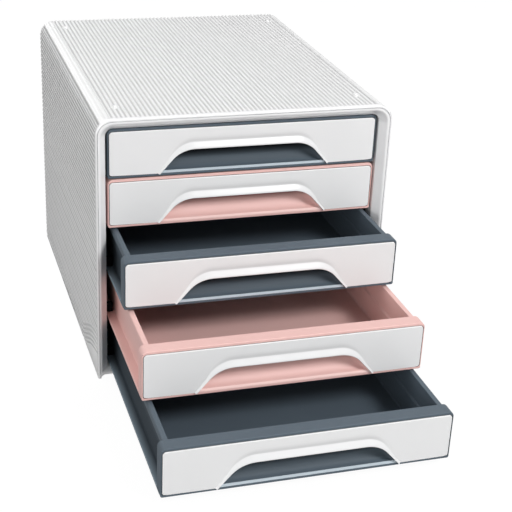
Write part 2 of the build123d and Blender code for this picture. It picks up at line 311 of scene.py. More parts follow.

# Moulded plastics: how large the drift of tone and the waves are, and what the grain, the coat and
# the marks do. The size of the grain and both depths are in millimetres. A mark is an attribute,
# its tone and the power that its share is raised to; every mark here is painted shade or a painted
# highlight.
drift_size = 60 * MM
wave_size = 34 * MM
grain_unevenness = 0.12
coat_roughness = 0.12
coat_fade_power = 24
mark_roughness = 0.4
tray_satin = dict(roughness=0.5, grain=0.45, grain_depth=0.012, wave_depth=0.06)
plastics = {
    "shell": dict(
        name="casing_satin", light=(0.91, 0.91, 0.912), dark=(0.88, 0.881, 0.883),
        roughness=0.45, grain=0.5, grain_depth=0.001, wave_depth=0.02, coat=0.6, specular=0.15,
        # Painted shade in the grooves between the ribs
        marks=[("groove", (0.1, 0.101, 0.104), 1)],
    ),
    "bezel": dict(
        name="bezel_gloss", light=(0.93, 0.932, 0.938), dark=(0.9, 0.903, 0.91),
        roughness=0.16, grain=0.5, grain_depth=0.003, wave_depth=0.08, coat=0.8,
    ),
    "fascia": dict(
        name="fascia_gloss", light=(0.83, 0.831, 0.835), dark=(0.8, 0.802, 0.806),
        roughness=0.24, grain=0.4, grain_depth=0.002, wave_depth=0.16, specular=0.35,
        marks=[
            # Painted highlight on the plate's rounded edge, painted shade on its back edge
            ("rim", (0.97, 0.97, 0.972), 1), ("edge_shade", (0.04, 0.04, 0.042), 0.5),
            # Painted shade on the plate just over the lip, where it dips a little
            ("dish", (0.64, 0.641, 0.646), 1),
        ],
    ),
    "slate": dict(
        name="tray_slate_satin", light=(0.1, 0.13, 0.158), dark=(0.093, 0.12, 0.147),
        specular=0.25, **tray_satin,
        marks=[
            # Painted sheen on the flanges, painted shade in the side channels, under the lip and
            # round the fascia, and a painted highlight on the rolled edge
            ("flange", (0.22, 0.275, 0.32), 1), ("channel", (0.04, 0.052, 0.064), 1),
            ("under_lip_shade", (0.004, 0.006, 0.008), 1), ("rolled_edge_highlight", (0.5, 0.57, 0.62), 1),
            ("seat_shade", (0.012, 0.015, 0.018), 1),
        ],
    ),
    "pink": dict(
        name="tray_pink_satin", light=(0.84, 0.545, 0.51), dark=(0.81, 0.515, 0.48),
        specular=0.3, **tray_satin,
        marks=[
            # Painted shade under the lip and round the fascia, and a painted highlight on the
            # rolled edge
            ("under_lip_shade", (0.3, 0.13, 0.12), 5), ("rolled_edge_highlight", (0.93, 0.66, 0.62), 1),
            ("seat_shade", (0.16, 0.06, 0.055), 1),
        ],
    ),
    "black": dict(
        name="inner_black_matt", light=(0.007, 0.007, 0.008), dark=(0.004, 0.004, 0.005),
        roughness=0.55, grain=0.6, grain_depth=0.02, wave_depth=0.05, specular=0.05,
    ),
    "rubber": dict(
        name="pad_rubber_matt", light=(0.05, 0.05, 0.052), dark=(0.035, 0.035, 0.037),
        roughness=0.75, grain=0.5, grain_depth=0.03, wave_depth=0.05,
    ),
}


class Value:
    """A shader socket that adds Math nodes when it stands in an expression."""

    def __init__(self, nodes, socket):
        self.nodes = nodes
        self.socket = socket

    def math(self, operation, *operands):
        return self.nodes.add("ShaderNodeMath", {"operation": operation}, dict(enumerate(operands)))

    def __add__(self, other):
        return self.math("ADD", self, other)

    __radd__ = __add__

    def __sub__(self, other):
        return self.math("SUBTRACT", self, other)

    def __rsub__(self, other):
        return self.math("SUBTRACT", other, self)

    def __mul__(self, other):
        return self.math("MULTIPLY", self, other)

    def __pow__(self, other):
        return self.math("POWER", self, other)


class Nodes:
    """A node tree that nodes are added to."""

    def __init__(self, tree):
        self.tree = tree

    def add(self, kind, settings=None, inputs=None, output=0):
        """A new node with its settings and inputs, as the value of one of its outputs."""
        made = self.tree.nodes.new(kind)
        for name, value in (settings or {}).items():
            setattr(made, name, value)
        for key, value in (inputs or {}).items():
            self.feed(made.inputs[key], value)
        return Value(self, made.outputs[output])

    def feed(self, socket, value):
        """Links a value to a socket, or sets the socket to a constant."""
        if isinstance(value, Value):
            self.tree.links.new(value.socket, socket)
        else:
            socket.default_value = value


class Finish(Nodes):
    """A material and the nodes that it is made of."""

    def __init__(self, name):
        self.material = bpy.data.materials.new(name)
        self.material.use_nodes = True
        super().__init__(self.material.node_tree)
        self.surface = self.tree.nodes["Principled BSDF"]
        self.where = self.add("ShaderNodeTexCoord", output="Object")

    def set(self, **values):
        for name, value in values.items():
            self.feed(self.surface.inputs[name.replace("_", " ")], value)

    def noise(self, size, detail, roughness=0.5):
        """Noise whose features are about as large as the size given, from 0 to 1."""
        return self.add(
            "ShaderNodeTexNoise", {},
            {"Vector": self.where, "Scale": 1 / size, "Detail": detail, "Roughness": roughness},
        )

    def blend(self, share, first, second):
        """Two colours mixed by a share from 0 to 1."""
        return self.add(
            "ShaderNodeMix", {"data_type": "RGBA"}, {"Factor": share, 6: first, 7: second}, 2,
        )

    def bump(self, height, distance, below=None):
        """The normal of a surface raised by a height from 0 to 1, over another bump."""
        inputs = {"Height": height, "Distance": distance, "Strength": 1.0}
        if below is not None:
            inputs["Normal"] = below
        return self.add("ShaderNodeBump", {}, inputs)


def colour(red, green, blue):
    return (red, green, blue, 1.0)


white = colour(1, 1, 1)


def moulded(
    name, light, dark, roughness, grain, grain_depth, wave_depth, coat=0.0, specular=0.5, marks=(),
):
    """Moulded plastic: a slow drift of tone, a fine grain and a faint waviness of the surface."""
    finish = Finish(name)
    drift = finish.noise(drift_size, detail=3.0)
    fine = finish.noise(grain * MM, detail=3.0, roughness=0.6)
    waves = finish.noise(wave_size, detail=1.0)
    wavy = finish.bump(waves, wave_depth * MM)
    base = finish.blend(drift, colour(*dark), colour(*light))
    rough = roughness + (fine - 0.5) * grain_unevenness
    # Each mark blends painted shade or a painted highlight into the colour, and roughens the
    # surface there
    for attribute, tone, power in marks:
        given = finish.add("ShaderNodeAttribute", {"attribute_name": attribute}, output="Fac")
        share = given ** power
        base = finish.blend(share, base, colour(*tone))
        rough = rough + share * mark_roughness
        if coat:
            coat = (1 - share) ** coat_fade_power * coat
    finish.set(
        Base_Color=base, Roughness=rough, Normal=finish.bump(fine, grain_depth * MM, below=wavy),
        Coat_Weight=coat, Coat_Roughness=coat_roughness, Specular_IOR_Level=specular,
    )
    return finish.material


def in_scene(name, data):
    """A new object of the scene."""
    made = bpy.data.objects.new(name, data)
    bpy.context.scene.collection.objects.link(made)
    return made


def as_object(bm, name):
    """Turns a finished bmesh into an object of the scene."""
    mesh = bpy.data.meshes.new(name)
    bm.to_mesh(mesh)
    bm.free()
    return in_scene(name, mesh)


def finish_piece(piece, material, sharp_angle):
    """Gives a piece its material, and smooth shading with sharp edges from an angle on."""
    mesh = piece.data
    mesh.materials.clear()
    mesh.materials.append(material)
    mesh.shade_smooth()
    mesh.set_sharp_from_angle(angle=math.radians(sharp_angle))


def even_normals(piece):
    """Lets the large flat faces keep their own normals beside the rounded edges."""
    modifier = piece.modifiers.new("even_normals", "WEIGHTED_NORMAL")
    modifier.keep_sharp = True
    modifier.weight = 80


def clamped(share):
    return min(1.0, max(0.0, share))


def quarter(count):
    """Sine and cosine at even steps from 0 to a quarter turn."""
    turns = [math.pi / 2 * step / count for step in range(count + 1)]
    return [(math.sin(turn), math.cos(turn)) for turn in turns]


def round_steps(radius, count):
    """The steps of an edge's rounding: how far along and how far in from the faces beside it."""
    return [(radius * (1 - cosine), radius * (1 - sine)) for sine, cosine in quarter(count)]


def corner_points(centre, radius, start, end, count):
    """Points on an arc in the XZ plane, from one angle to another, in degrees."""
    points = []
    for index in range(count + 1):
        turn = math.radians(start + (end - start) * index / count)
        points.append((centre[0] + radius * math.cos(turn), centre[1] + radius * math.sin(turn)))
    return points


def mirrored(right):
    """The corners of an outline's right half, and their mirror images in the opposite order."""
    return right + [(-x, *rest) for x, *rest in reversed(right)]


def rounded(corners, count):
    """A closed outline through corners (x, z, radius), each an arc of count + 1 points."""
    points = []
    for index, (x, z, radius) in enumerate(corners):
        corner = Vector((x, z))
        before = (Vector(corners[index - 1][:2]) - corner).normalized()
        after = (Vector(corners[(index + 1) % len(corners)][:2]) - corner).normalized()
        half_angle = before.angle(after) / 2
        middle = (before + after).normalized()
        centre = corner + middle * radius / math.sin(half_angle)
        first = corner + before * radius / math.tan(half_angle) - centre
        last = corner + after * radius / math.tan(half_angle) - centre
        turn = first.angle_signed(last)
        for step in range(count + 1):
            angle = -turn * step / count
            points.append(centre + Vector((
                first.x * math.cos(angle) - first.y * math.sin(angle),
                first.x * math.sin(angle) + first.y * math.cos(angle),
            )))
    return points


def upright(outline, y):
    """An outline in X and Z, placed at y."""
    return [(point[0], y, point[1]) for point in outline]


def lofted(loops):
    """A closed solid through closed loops of as many points each, with flat ends."""
    bm = bmesh.new()
    rings = [[bm.verts.new(point) for point in loop] for loop in loops]
    chains = [[bm.edges.new((ring[index - 1], ring[index])) for index in range(len(ring))]
              for ring in rings]
    for first, second in zip(chains, chains[1:]):
        bmesh.ops.bridge_loops(bm, edges=first + second)
    bm.faces.new(rings[0])
    bm.faces.new(rings[-1])
    bmesh.ops.recalc_face_normals(bm, faces=bm.faces)
    return bm


def soften(bm, edges, offset, segments):
    """Rounds edges of a bmesh."""
    bmesh.ops.bevel(
        bm, geom=edges, offset=offset, offset_type="OFFSET", segments=segments, profile=0.5,
        affect="EDGES", material=-1,
    )


def block(low, high, edge=0.0):
    """A box between two corners, with its edges rounded."""
    low, high = Vector(low), Vector(high)
    bm = bmesh.new()
    size = Matrix.Diagonal((*(high - low), 1.0))
    bmesh.ops.create_cube(bm, size=1.0, matrix=Matrix.Translation((low + high) / 2) @ size)
    if edge:
        soften(bm, bm.edges[:], edge, segments=2)
    return bm


def combine(base, tool_bm, operation):
    """Joins a solid to the base or cuts it out of the base."""
    tool = as_object(tool_bm, "tool")
    modifier = base.modifiers.new("combine", "BOOLEAN")
    modifier.operation = operation
    modifier.solver = "EXACT"
    modifier.object = tool
    bpy.context.view_layer.update()
    graph = bpy.context.evaluated_depsgraph_get()
    result = bpy.data.meshes.new_from_object(base.evaluated_get(graph))
    base.modifiers.clear()
    old = base.data
    base.data = result
    bpy.data.meshes.remove(old)
    bpy.data.objects.remove(tool)


def groove_places(low, high, pitch):
    """Places at an even pitch, centred between low and high."""
    count = int((high - low) / pitch)
    start = (low + high - count * pitch) / 2
    return [start + index * pitch for index in range(count + 1)]


def casing_line(along):
    """A place on the casing's outer line, by its way from the top's middle: x, z and outwards."""
    side = 1 if along >= 0 else -1
    way = abs(along)
    if way < flat_half:
        return along, casing_top, 0.0, 1.0
    if way < flat_half + corner_arc:
        turn = (way - flat_half) / casing_corner
        out_x, out_z = math.sin(turn), math.cos(turn)
        x, z = side * (flat_half + casing_corner * out_x), shoulder + casing_corner * out_z
        return x, z, side * out_x, out_z
    return side * half_width, shoulder - (way - flat_half - corner_arc), side, 0.0


def rib_section():
    """The shell's outer line from the left foot over the top to the right foot.

    Each point is (x, z, outward x, outward z, how deep it lies in a groove from 0 to 1)."""
    top = [(place, 1.0) for place in groove_places(-flat_half, flat_half, top_rib_pitch)]
    heights = groove_places(casing_foot + smooth_foot, shoulder, side_rib_pitch)
    in_foot = [heights[0] - side_rib_pitch * step for step in range(grooves_in_foot, 0, -1)]
    heights = in_foot + heights
    side = [(flat_half + casing_corner * math.radians(angle), share)
            for angle, share in corner_grooves]
    for index, height in reversed(list(enumerate(heights))):
        low = clamped((low_side_height - height) / low_side_ramp)
        if index <= grooves_in_foot:
            low = 0.0
        shallower = 1.0 - low_groove_shares[index % len(low_groove_shares)]
        side.append((flat_half + corner_arc + shoulder - height, 1.0 - low * shallower))
    grooves = [(-place, share) for place, share in reversed(side)] + top + side
    end = flat_half + corner_arc + shoulder - heights[0] + side_rib_pitch / 2
    points = [(*casing_line(-end), 0.0)]
    for centre, share in grooves:
        on_side = abs(centre) > flat_half + side_width_from * corner_arc
        width = side_groove_width if on_side else groove_width
        points += [(*casing_line(centre + offset * width), depth * share)
                   for offset, depth in groove_section]
    return points + [(*casing_line(end), 0.0)]


def around_patch(behind, height):
    """Where a point of the shell's side lies above the foot, and the share left of its groove."""
    share = max(0.0, 1 - behind / patch_start)
    # Steep where the patch starts, level at the front
    rise = patch_rise * (1.5 * share - 0.5 * share ** 3)
    lowest = -grooves_in_foot * side_rib_pitch
    if height <= patch_top:
        sunk = patch_sunk_step * (height - lowest) / (patch_top - lowest)
        return max(height + rise, sunk), clamped((height + rise - sunk) / patch_fade)
    if not rise:
        return height, 1.0
    squeezed = patch_top + rise + patch_squeeze * min(1.0, (height - patch_top) / patch_rise)
    return max(height, squeezed), clamped((height - squeezed) / patch_fade)


def shell_stations():
    """Where the shell's section stands behind the front, and its grooves' share of depth there."""
    groove_start = bezel_edge + smooth_band
    depth = rear - front
    return [
        (bezel_edge, 0.0),
        *((groove_start + place, share) for place, share in groove_run_in),
        *((step * station_step, 1.0) for step in station_steps),
        (depth - rear_notch, 1.0),
        (depth, 1.0),
    ]


def extruded_rows(bm, chain, places):
    """A chain of vertices drawn out along Y through the places: its rows, in the chain's order."""
    rows = [chain]
    edges = [bm.edges.new(pair) for pair in zip(chain, chain[1:])]
    for place in places:
        grown = bmesh.ops.extrude_edge_only(bm, edges=edges)["geom"]
        fresh = [item for item in grown if isinstance(item, bmesh.types.BMVert)]
        bmesh.ops.translate(bm, verts=fresh, vec=(0, place - rows[-1][0].co.y, 0))
        by_place = {(round(vert.co.x, 7), round(vert.co.z, 7)): vert for vert in fresh}
        rows.append([by_place[round(vert.co.x, 7), round(vert.co.z, 7)] for vert in chain])
        edges = [item for item in grown if isinstance(item, bmesh.types.BMEdge)
                 and abs(item.verts[0].co.y - item.verts[1].co.y) < same_place]
    return rows


def shell_skins(bm, outer, stations):
    """The rows of the shell's outside and of its lining, joined at both ends and at the feet."""
    start = front + bezel_edge
    chain = [bm.verts.new((x, start, z)) for x, z, *_ in outer]
    rows = extruded_rows(bm, chain, [front + behind for behind, _ in stations[1:]])
    lining = [bm.verts.new((x - out_x * shell_wall, start, z - out_z * shell_wall))
              for x, z, out_x, out_z, _ in outer]
    lining_rows = extruded_rows(bm, lining, [rear])
    for end in (0, -1):
        lines = (rows[end], lining_rows[end])
        edges = [bm.edges.get(pair) for line in lines for pair in zip(line, line[1:])]
        bmesh.ops.bridge_loops(bm, edges=edges)
    for end in (0, -1):
        bm.faces.new([row[end] for row in rows] + [row[end] for row in reversed(lining_rows)])
    return rows, lining_rows


def carve_grooves(rows, outer, stations, groove_shade_layer):
    """Sinks the rows into the grooves and marks each point's painted shade by how deep it lies."""
    for row, (behind, groove_share) in zip(rows, stations):
        for vert, (x, z, out_x, out_z, depth) in zip(row, outer):
            height, left = z - casing_foot, 1.0
            if abs(out_x) == 1.0:
                height, left = around_patch(behind, height)
            share = depth * groove_share * left
            inward = groove_depth * share
            vert.co = (x - out_x * inward, vert.co.y, casing_foot + height - out_z * inward)
            # Painted shade in the groove: part of it on the top, all of it on the sides, less over
            # the bare patch
            tone = top_groove_shade + (1 - top_groove_shade) * abs(out_x) ** groove_shade_power
            if z - casing_foot < patch_top and behind < patch_start + station_step / 2:
                tone *= 1 - patch_shade_cut
            vert[groove_shade_layer] = share * tone


def level_feet(rows, lining_rows):
    """Ends the rows on the feet, the rear ones on a notch, with no point below them."""
    feet = [(row, casing_foot) for row in rows[:-1] + lining_rows[:-1]]
    feet += [(row, casing_foot + rear_notch) for row in (rows[-1], lining_rows[-1])]
    for row, foot in feet:
        for index, vert in enumerate(row):
            from_end = min(index, len(row) - 1 - index)
            vert.co.z = max(vert.co.z, foot + from_end * fold_step) if from_end else foot


def add_disc(bm, foot, radius, height):
    """A round boss with a softened top edge."""
    made = bmesh.ops.create_cone(
        bm, cap_ends=True, segments=32, radius1=radius, radius2=radius, depth=height,
        matrix=Matrix.Translation(foot + Vector((0, 0, height / 2))),
    )["verts"]
    edges = dict.fromkeys(edge for vert in made for edge in vert.link_edges)
    rim = [edge for edge in edges
           if all(abs(end.co.z - foot.z - height) < same_place for end in edge.verts)]
    soften(bm, rim, min(pip_softening, height / 3), segments=3)


def add_pips(bm):
    """The four pips on the top, each on its land."""
    for side in (-1, 1):
        for y in (front + pip_from_front, rear - pip_from_back):
            middle = Vector((side * (half_width - pip_from_side), y, casing_top))
            add_disc(bm, middle - Vector((0, 0, pip_land_depth)), pip_land, pip_land_depth)
            add_disc(bm, middle - Vector((0, 0, pip_sink)), pip_radius, pip_height + pip_sink)


def make_shell(finishes):
    """The ribbed casing."""
    outer = rib_section()
    stations = shell_stations()
    bm = bmesh.new()
    groove_shade_layer = bm.verts.layers.float.new("groove")
    rows, lining_rows = shell_skins(bm, outer, stations)
    carve_grooves(rows, outer, stations, groove_shade_layer)
    level_feet(rows, lining_rows)
    add_pips(bm)
    bmesh.ops.recalc_face_normals(bm, faces=bm.faces)
    piece = as_object(bm, "casing_shell")
    finish_piece(piece, finishes["shell"], sharp_angle=70)
    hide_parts("outer_shell")
    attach(piece, "casing")


def grip_row(side_margin, rise, bottom, y, tip_z):
    """Points along the grip's cut-out, widened and raised, from its left tip to its right tip."""
    low, high = bottom, bottom + grip_height + rise
    half_low, half_high = grip_half_bottom + side_margin, grip_half_top + side_margin
    radius = grip_radius + side_margin
    slope = math.atan2(high - low, half_low - half_high)
    reach = radius * math.tan(slope / 2)
    tangent = Vector((half_high + math.cos(slope) * reach, high - math.sin(slope) * reach))
    centre = Vector((half_high - reach, high - radius))
    points = [Vector((half_low + (low - tip_z) / math.tan(slope), tip_z))]
    points += [points[0].lerp(tangent, step / flank_points) for step in range(1, flank_points)]
    start = math.degrees(math.atan2(tangent.y - centre.y, tangent.x - centre.x))
    points += [Vector(point) for point in corner_points(centre, radius, start, 90, arc_points)]
    points += [Vector((centre.x * (1 - step / crown_points), high))
               for step in range(1, crown_points)]
    right = [(point.x, y, point.y) for point in points]
    left = [(-x, y, z) for x, y, z in right]
    return left + [(0.0, y, high)] + right[::-1]


def lip_fullness(index, count):
    """Shares of the lip's width and stand at a point of its row: it thins out towards its tips."""
    share = clamped((min(index, count - 1 - index) - lip_taper_start) / lip_taper)
    grown = share * share * (3 - 2 * share)
    return lip_tip_share + (1 - lip_tip_share) * grown, lip_tip_stand + (1 - lip_tip_stand) * grown


def lip_surface(bottom, face, back):
    """The lip's rows of points, from the plate's face over the crest to the cut-out's back."""
    root_tip = bottom - lip_root_drop * lip_tip_drop
    root = [Vector(point) for point in grip_row(0.0, 0.0, bottom, face, root_tip)]
    rows = []
    for share, stand, drop in lip_rows:
        tip = bottom - drop * lip_tip_drop
        row = grip_row(lip_side * share, lip_rise * share, bottom, face - stand * MM, tip)
        for index, (inner, point) in enumerate(zip(root, row)):
            width, standing = lip_fullness(index, len(row))
            thinned = inner.lerp(Vector(point), width)
            row[index] = (thinned.x, inner.y + (point[1] - inner.y) * standing, thinned.z)
        rows.append(row)
    for share, y in ((lip_root_share, face), (0.0, back)):
        rows.append(grip_row(lip_side * share, lip_rise * share, bottom, y, bottom))
    return rows


def plate_outline(bottom, top, y):
    """The fascia's outline from the grip's right tip round to its left tip, without the tips."""
    low_centre = (fascia_half - fascia_low_corner, bottom + fascia_low_corner)
    high_centre = (fascia_half - fascia_corner, top - fascia_corner)
    right = corner_points(low_centre, fascia_low_corner, -90, 0, count=5)
    right += corner_points(high_centre, fascia_corner, 0, 90, count=7)
    return upright(mirrored(right), y)


def close_plate(bm, lip, bottom, top, face, back):
    """Closes the plate round the lip's rows of vertices: its outline on the face."""
    chains = [[bm.edges.new(pair) for pair in zip(row, row[1:])] for row in lip]
    for first, second in zip(chains, chains[1:]):
        bmesh.ops.bridge_loops(bm, edges=first + second)
    at_face, at_back = ([bm.verts.new(point) for point in plate_outline(bottom, top, y)]
                        for y in (face, back))
    bm.faces.new(lip[0] + at_face)
    bm.faces.new(lip[-1] + at_back)
    walls = [bm.edges.get(pair) for line in (at_face, at_back) for pair in zip(line, line[1:])]
    bmesh.ops.bridge_loops(bm, edges=walls)
    for end, corner in ((0, -1), (-1, 0)):
        bm.faces.new([row[end] for row in lip] + [at_back[corner], at_face[corner]])
    bmesh.ops.recalc_face_normals(bm, faces=bm.faces)
    return at_face


def mark_plate_highlight_and_shade(bm, rim_highlight_layer, shade_layer, bottom, top, face):
    """Marks the plate's rounded edge for a painted highlight, and its back edge for painted shade.
    """
    for vert in bm.verts:
        behind = vert.co.y - face
        beside = max(abs(vert.co.x) - fascia_half, vert.co.z - top, bottom - vert.co.z)
        at_edge = behind > hair and beside > -fascia_round
        at_back = behind > fascia_thickness - mark_margin
        vert[rim_highlight_layer] = float(at_edge and not at_back)
        vert[shade_layer] = float(at_edge and at_back)


def make_fascia(number, finishes):
    """A drawer's front plate with the lip of its grip."""
    node = f"fascia_{number}"
    low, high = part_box(node)
    bottom, top = low.z, high.z
    face = low.y + lip_stand
    back = face + fascia_thickness
    bm = bmesh.new()
    dish_shade_layer, rim_highlight_layer, shade_layer = (
        bm.verts.layers.float.new(name) for name in ("dish", "rim", "edge_shade")
    )
    lip = [[bm.verts.new(point) for point in row] for row in lip_surface(bottom, face, back)]
    # Painted shade over the lip, fading out towards the tips
    for row, shade in zip(lip, dish_shades):
        for index, vert in enumerate(row):
            vert[dish_shade_layer] = shade * lip_fullness(index, len(row))[0] ** dish_fade_power
    outline = close_plate(bm, lip, bottom, top, face, back)
    rim = [edge for edge in bm.edges if all(vert in outline for vert in edge.verts)]
    soften(bm, rim, fascia_round, segments=4)
    mark_plate_highlight_and_shade(bm, rim_highlight_layer, shade_layer, bottom, top, face)
    piece = as_object(bm, f"front_plate_{number}")
    finish_piece(piece, finishes["fascia"], sharp_angle=50)
    even_normals(piece)
    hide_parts(node)
    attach(piece, f"drawer_{number}")


def front_panel(grown, half, bottom, top, top_radius, low_radius):
    """A rounded rectangle, grown or, below zero, shrunk on all sides."""
    upper, lower = max(top_radius + grown, least_radius), max(low_radius + grown, least_radius)
    right = [(half + grown, bottom - grown, lower), (half + grown, top + grown, upper)]
    return rounded(mirrored(right), count=8)


def block_solid():
    """The tray's front block, with all its outer edges rounded."""
    outline = (block_half, 0.0, block_height, block_corner, block_low_corner)
    edge = round_steps(block_round, 4)
    steps = [(-inwards, block_front + along) for along, inwards in edge]
    steps += [(-along, block_depth - inwards) for along, inwards in edge]
    return lofted([upright(front_panel(grown, *outline), y) for grown, y in steps])


def seat_cutter():
    """The recess that the fascia lies in, opened a little at its mouth."""
    bottom, top = frame_bottom - fascia_gap, block_height - frame_top + fascia_gap
    outline = (fascia_half + fascia_gap, bottom, top, fascia_corner, fascia_low_corner)
    steps = ((seat_gap, -cut_overrun), (seat_gap, seat_step_start), (0.0, seat_step_end),
             (0.0, fascia_thickness))
    return lofted([upright(front_panel(grown, *outline), y) for grown, y in steps])


def sill_solid():
    """The bar under the grip's cut-out, between its slanted sides, that the roll is cut from."""
    half = grip_half_bottom - sill_clearance
    outline = mirrored([
        (half + grip_slope * sill_root, frame_bottom - sill_root),
        (half - grip_slope * sill_height, frame_bottom + sill_height),
    ])
    return lofted([upright(outline, block_front), upright(outline, fascia_thickness + sill_sunk)])


def scoop_outline(margin, low, low_radius):
    """The finger scoop's outline: the grip's cut-out with a margin, taken up behind the fascia."""
    high = grip_top + scoop_headroom
    half_low, half_high = (
        grip_half_bottom + margin - (z - frame_bottom) * grip_slope for z in (low, high)
    )
    right = [(half_low, low, low_radius), (half_high, high, scoop_high_radius)]
    return rounded(mirrored(right), count=10)


def scoop_cutter():
    """The finger scoop: a small roll at its lower front edge, then a hollow up and back."""
    hollow_depth = block_back - block_front - scoop_roll
    loops = [upright(scoop_outline(scoop_margin, roll_foot, scoop_low_radius), -cut_overrun)]
    for sine, cosine in quarter(4):
        radius = scoop_low_radius + roll_radius_gain * sine
        outline = scoop_outline(scoop_margin, roll_foot + scoop_roll * sine, radius)
        loops.append(upright(outline, block_front + scoop_roll * (1 - cosine)))
    for sine, cosine in quarter(9)[1:]:
        margin = scoop_margin - scoop_close * (1 - cosine)
        low = grip_top - (grip_height - scoop_lift) * cosine
        radius = scoop_low_radius + roll_radius_gain + hollow_radius_gain * sine
        outline = scoop_outline(margin, low, radius)
        loops.append(upright(outline, block_front + scoop_roll + hollow_depth * sine))
    return lofted(loops)


def tub_solid():
    """The tub before it is hollowed: flanges at its foot, creased walls, a turned-down rim."""
    wall_high = rim_inner + tray_wall
    right = [
        (flange_half, flange_foot, 0.5 * MM), (flange_half, flange_thickness, 0.8 * MM),
        (side_wall, flange_thickness, 1.2 * MM), (side_wall, crease_z, 1.0 * MM),
        (wall_high, crease_z + crease_step, 1.0 * MM), (wall_high, rim_under, 0.3 * MM),
        (rim_half - rim_thickness, rim_under, 0.3 * MM),
        (rim_half - rim_thickness, rim_end, 0.4 * MM), (rim_half, rim_end, 0.7 * MM),
        (rim_half, rim_top, 1.5 * MM),
    ]
    outline = rounded(mirrored(right), count=4)
    return lofted([upright(outline, tub_start), upright(outline, tray_length)])


def cavity_cutter():
    """The tub's inside: rounded at its floor and corners, opened a little at the rim."""
    levels = [(floor_thickness + along, floor_half - inwards)
              for along, inwards in round_steps(floor_round, 4)]
    levels += [
        (crease_z - crease_softening, floor_half), (crease_z, floor_half + crease_slant),
        (crease_z + crease_step, rim_inner - crease_slant),
        (crease_z + crease_step + crease_softening, rim_inner),
    ]
    levels += [(rim_top - inwards, rim_inner + along)
               for along, inwards in round_steps(rim_round, 4)]
    levels.append((rim_top + cavity_overrun, rim_inner + rim_round))
    loops = []
    for level, half in levels:
        flare = max(0.0, half - rim_inner)
        shrink = max(0.0, floor_half - half)
        back = tray_length - rim_width + flare - shrink
        right = [(half, cavity_start, cavity_front_corner), (half, back, cavity_corner)]
        loops.append([(x, y, level) for x, y in rounded(mirrored(right), count=6)])
    return lofted(loops)


def rear_recess():
    """The space behind the tub's back wall, under the rim."""
    start = tray_length - rim_width + tray_wall
    return block((-floor_half, start, floor_thickness),
                 (floor_half, tray_length + cut_overrun, rim_under))


def stop_lug(side):
    """The lug on a tray's side wall that meets the stop."""
    near, far = side * (side_wall - lug_root), side * lug_half
    return block((min(near, far), lug_front, lug_low),
                 (max(near, far), lug_front + lug_size, lug_low + lug_size), edge=lug_round)


def tray_mesh():
    """One tray in its own frame: front plane of its fascia at y = 0, underside at z = 0."""
    tray = as_object(tub_solid(), "tray")
    combine(tray, cavity_cutter(), "DIFFERENCE")
    combine(tray, rear_recess(), "DIFFERENCE")
    combine(tray, block_solid(), "UNION")
    combine(tray, seat_cutter(), "DIFFERENCE")
    combine(tray, sill_solid(), "UNION")
    combine(tray, scoop_cutter(), "DIFFERENCE")
    for side in (-1, 1):
        combine(tray, stop_lug(side), "UNION")
    mesh = tray.data
    bpy.data.objects.remove(tray)
    mark_scoop_shade_and_highlight(mesh)
    mark_side_sheen_and_shade(mesh)
    mark_seat_shade(mesh)
    return mesh


def marked(mesh, name, domain):
    """The mesh's points or faces, each with its mark in a new attribute."""
    parts = {"POINT": mesh.vertices, "FACE": mesh.polygons}[domain]
    return zip(parts, mesh.attributes.new(name, "FLOAT", domain).data)


def mark_scoop_shade_and_highlight(mesh):
    """Marks painted shade in the scoop's hollow where the lip shades it, and a painted highlight on
    the rolled edge below.
    """
    reach = grip_half_bottom + scoop_margin + shade_margin
    for vert, mark in marked(mesh, "under_lip_shade", "POINT"):
        x, y, z = vert.co
        in_hollow = block_front < y < block_back + mark_margin and frame_bottom < z
        if abs(x) < reach and in_hollow:
            least = shade_least * clamped((z - grip_top + shade_end) / shade_fade)
            shade = (z - grip_top + shade_low) / (shade_low - shade_high)
            mark.value = min(1.0, max(least, shade))
    # The rolled edge's faces that turn up and forward take the painted highlight
    rising_least, rising_most = roll_highlight_rising
    for face, mark in marked(mesh, "rolled_edge_highlight", "FACE"):
        x, y, z = face.center
        behind, above = y - block_front, z - roll_foot
        in_roll = 0 < behind < scoop_roll and 0 < above < scoop_roll
        turned = rising_least < face.normal.z < rising_most and face.normal.y < roll_highlight_facing
        mark.value = float(in_roll and abs(x) < reach - roll_highlight_end and turned)


def mark_side_sheen_and_shade(mesh):
    """Marks painted shade in the channel between a tray's side wall and its rim, and a painted
    sheen on the flange at its foot.
    """
    channel_end = rim_half - rim_thickness + mark_margin
    for vert, mark in marked(mesh, "channel", "POINT"):
        x, y, z = vert.co
        beside = side_wall - mark_margin < abs(x) < channel_end and y > block_back
        mark.value = float(beside and flange_thickness - mark_margin < z < rim_end)
    for face, mark in marked(mesh, "flange", "FACE"):
        x, y, z = face.center
        beside = abs(x) > side_wall and y > block_depth
        facing = face.normal.z > flange_sheen_facing
        mark.value = float(beside and z < flange_thickness + mark_margin and facing)


def mark_seat_shade(mesh):
    """Marks the recess round the fascia for painted shade: a dark gap round the plate, except at
    the scoop.
    """
    reach = fascia_gap + seat_gap + hair
    half = fascia_half + reach
    low, high = frame_bottom - reach, block_height - frame_top + reach
    for face, mark in marked(mesh, "seat_shade", "FACE"):
        x, y, z = face.center
        in_scoop = abs(x) < grip_half_bottom + scoop_margin and z < grip_top
        in_depth = block_front + hair < y < fascia_thickness + mark_margin
        mark.value = float(in_depth and abs(x) < half and low < z < high and not in_scoop)


def make_trays(finishes):
    """The five trays: one mesh, in the place of each."""
    shared = tray_mesh()
    for number in drawers:
        tone = "slate" if number % 2 else "pink"
        mesh = shared.copy()
        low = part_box(f"tray_{number}")[0]
        mesh.transform(Matrix.Translation((0, low.y - block_front, low.z)))
        piece = in_scene(f"drawer_tray_{number}", mesh)
        finish_piece(piece, finishes[tone], sharp_angle=35)
        even_normals(piece)
        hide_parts(f"tray_{number}")
        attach(piece, f"drawer_{number}")


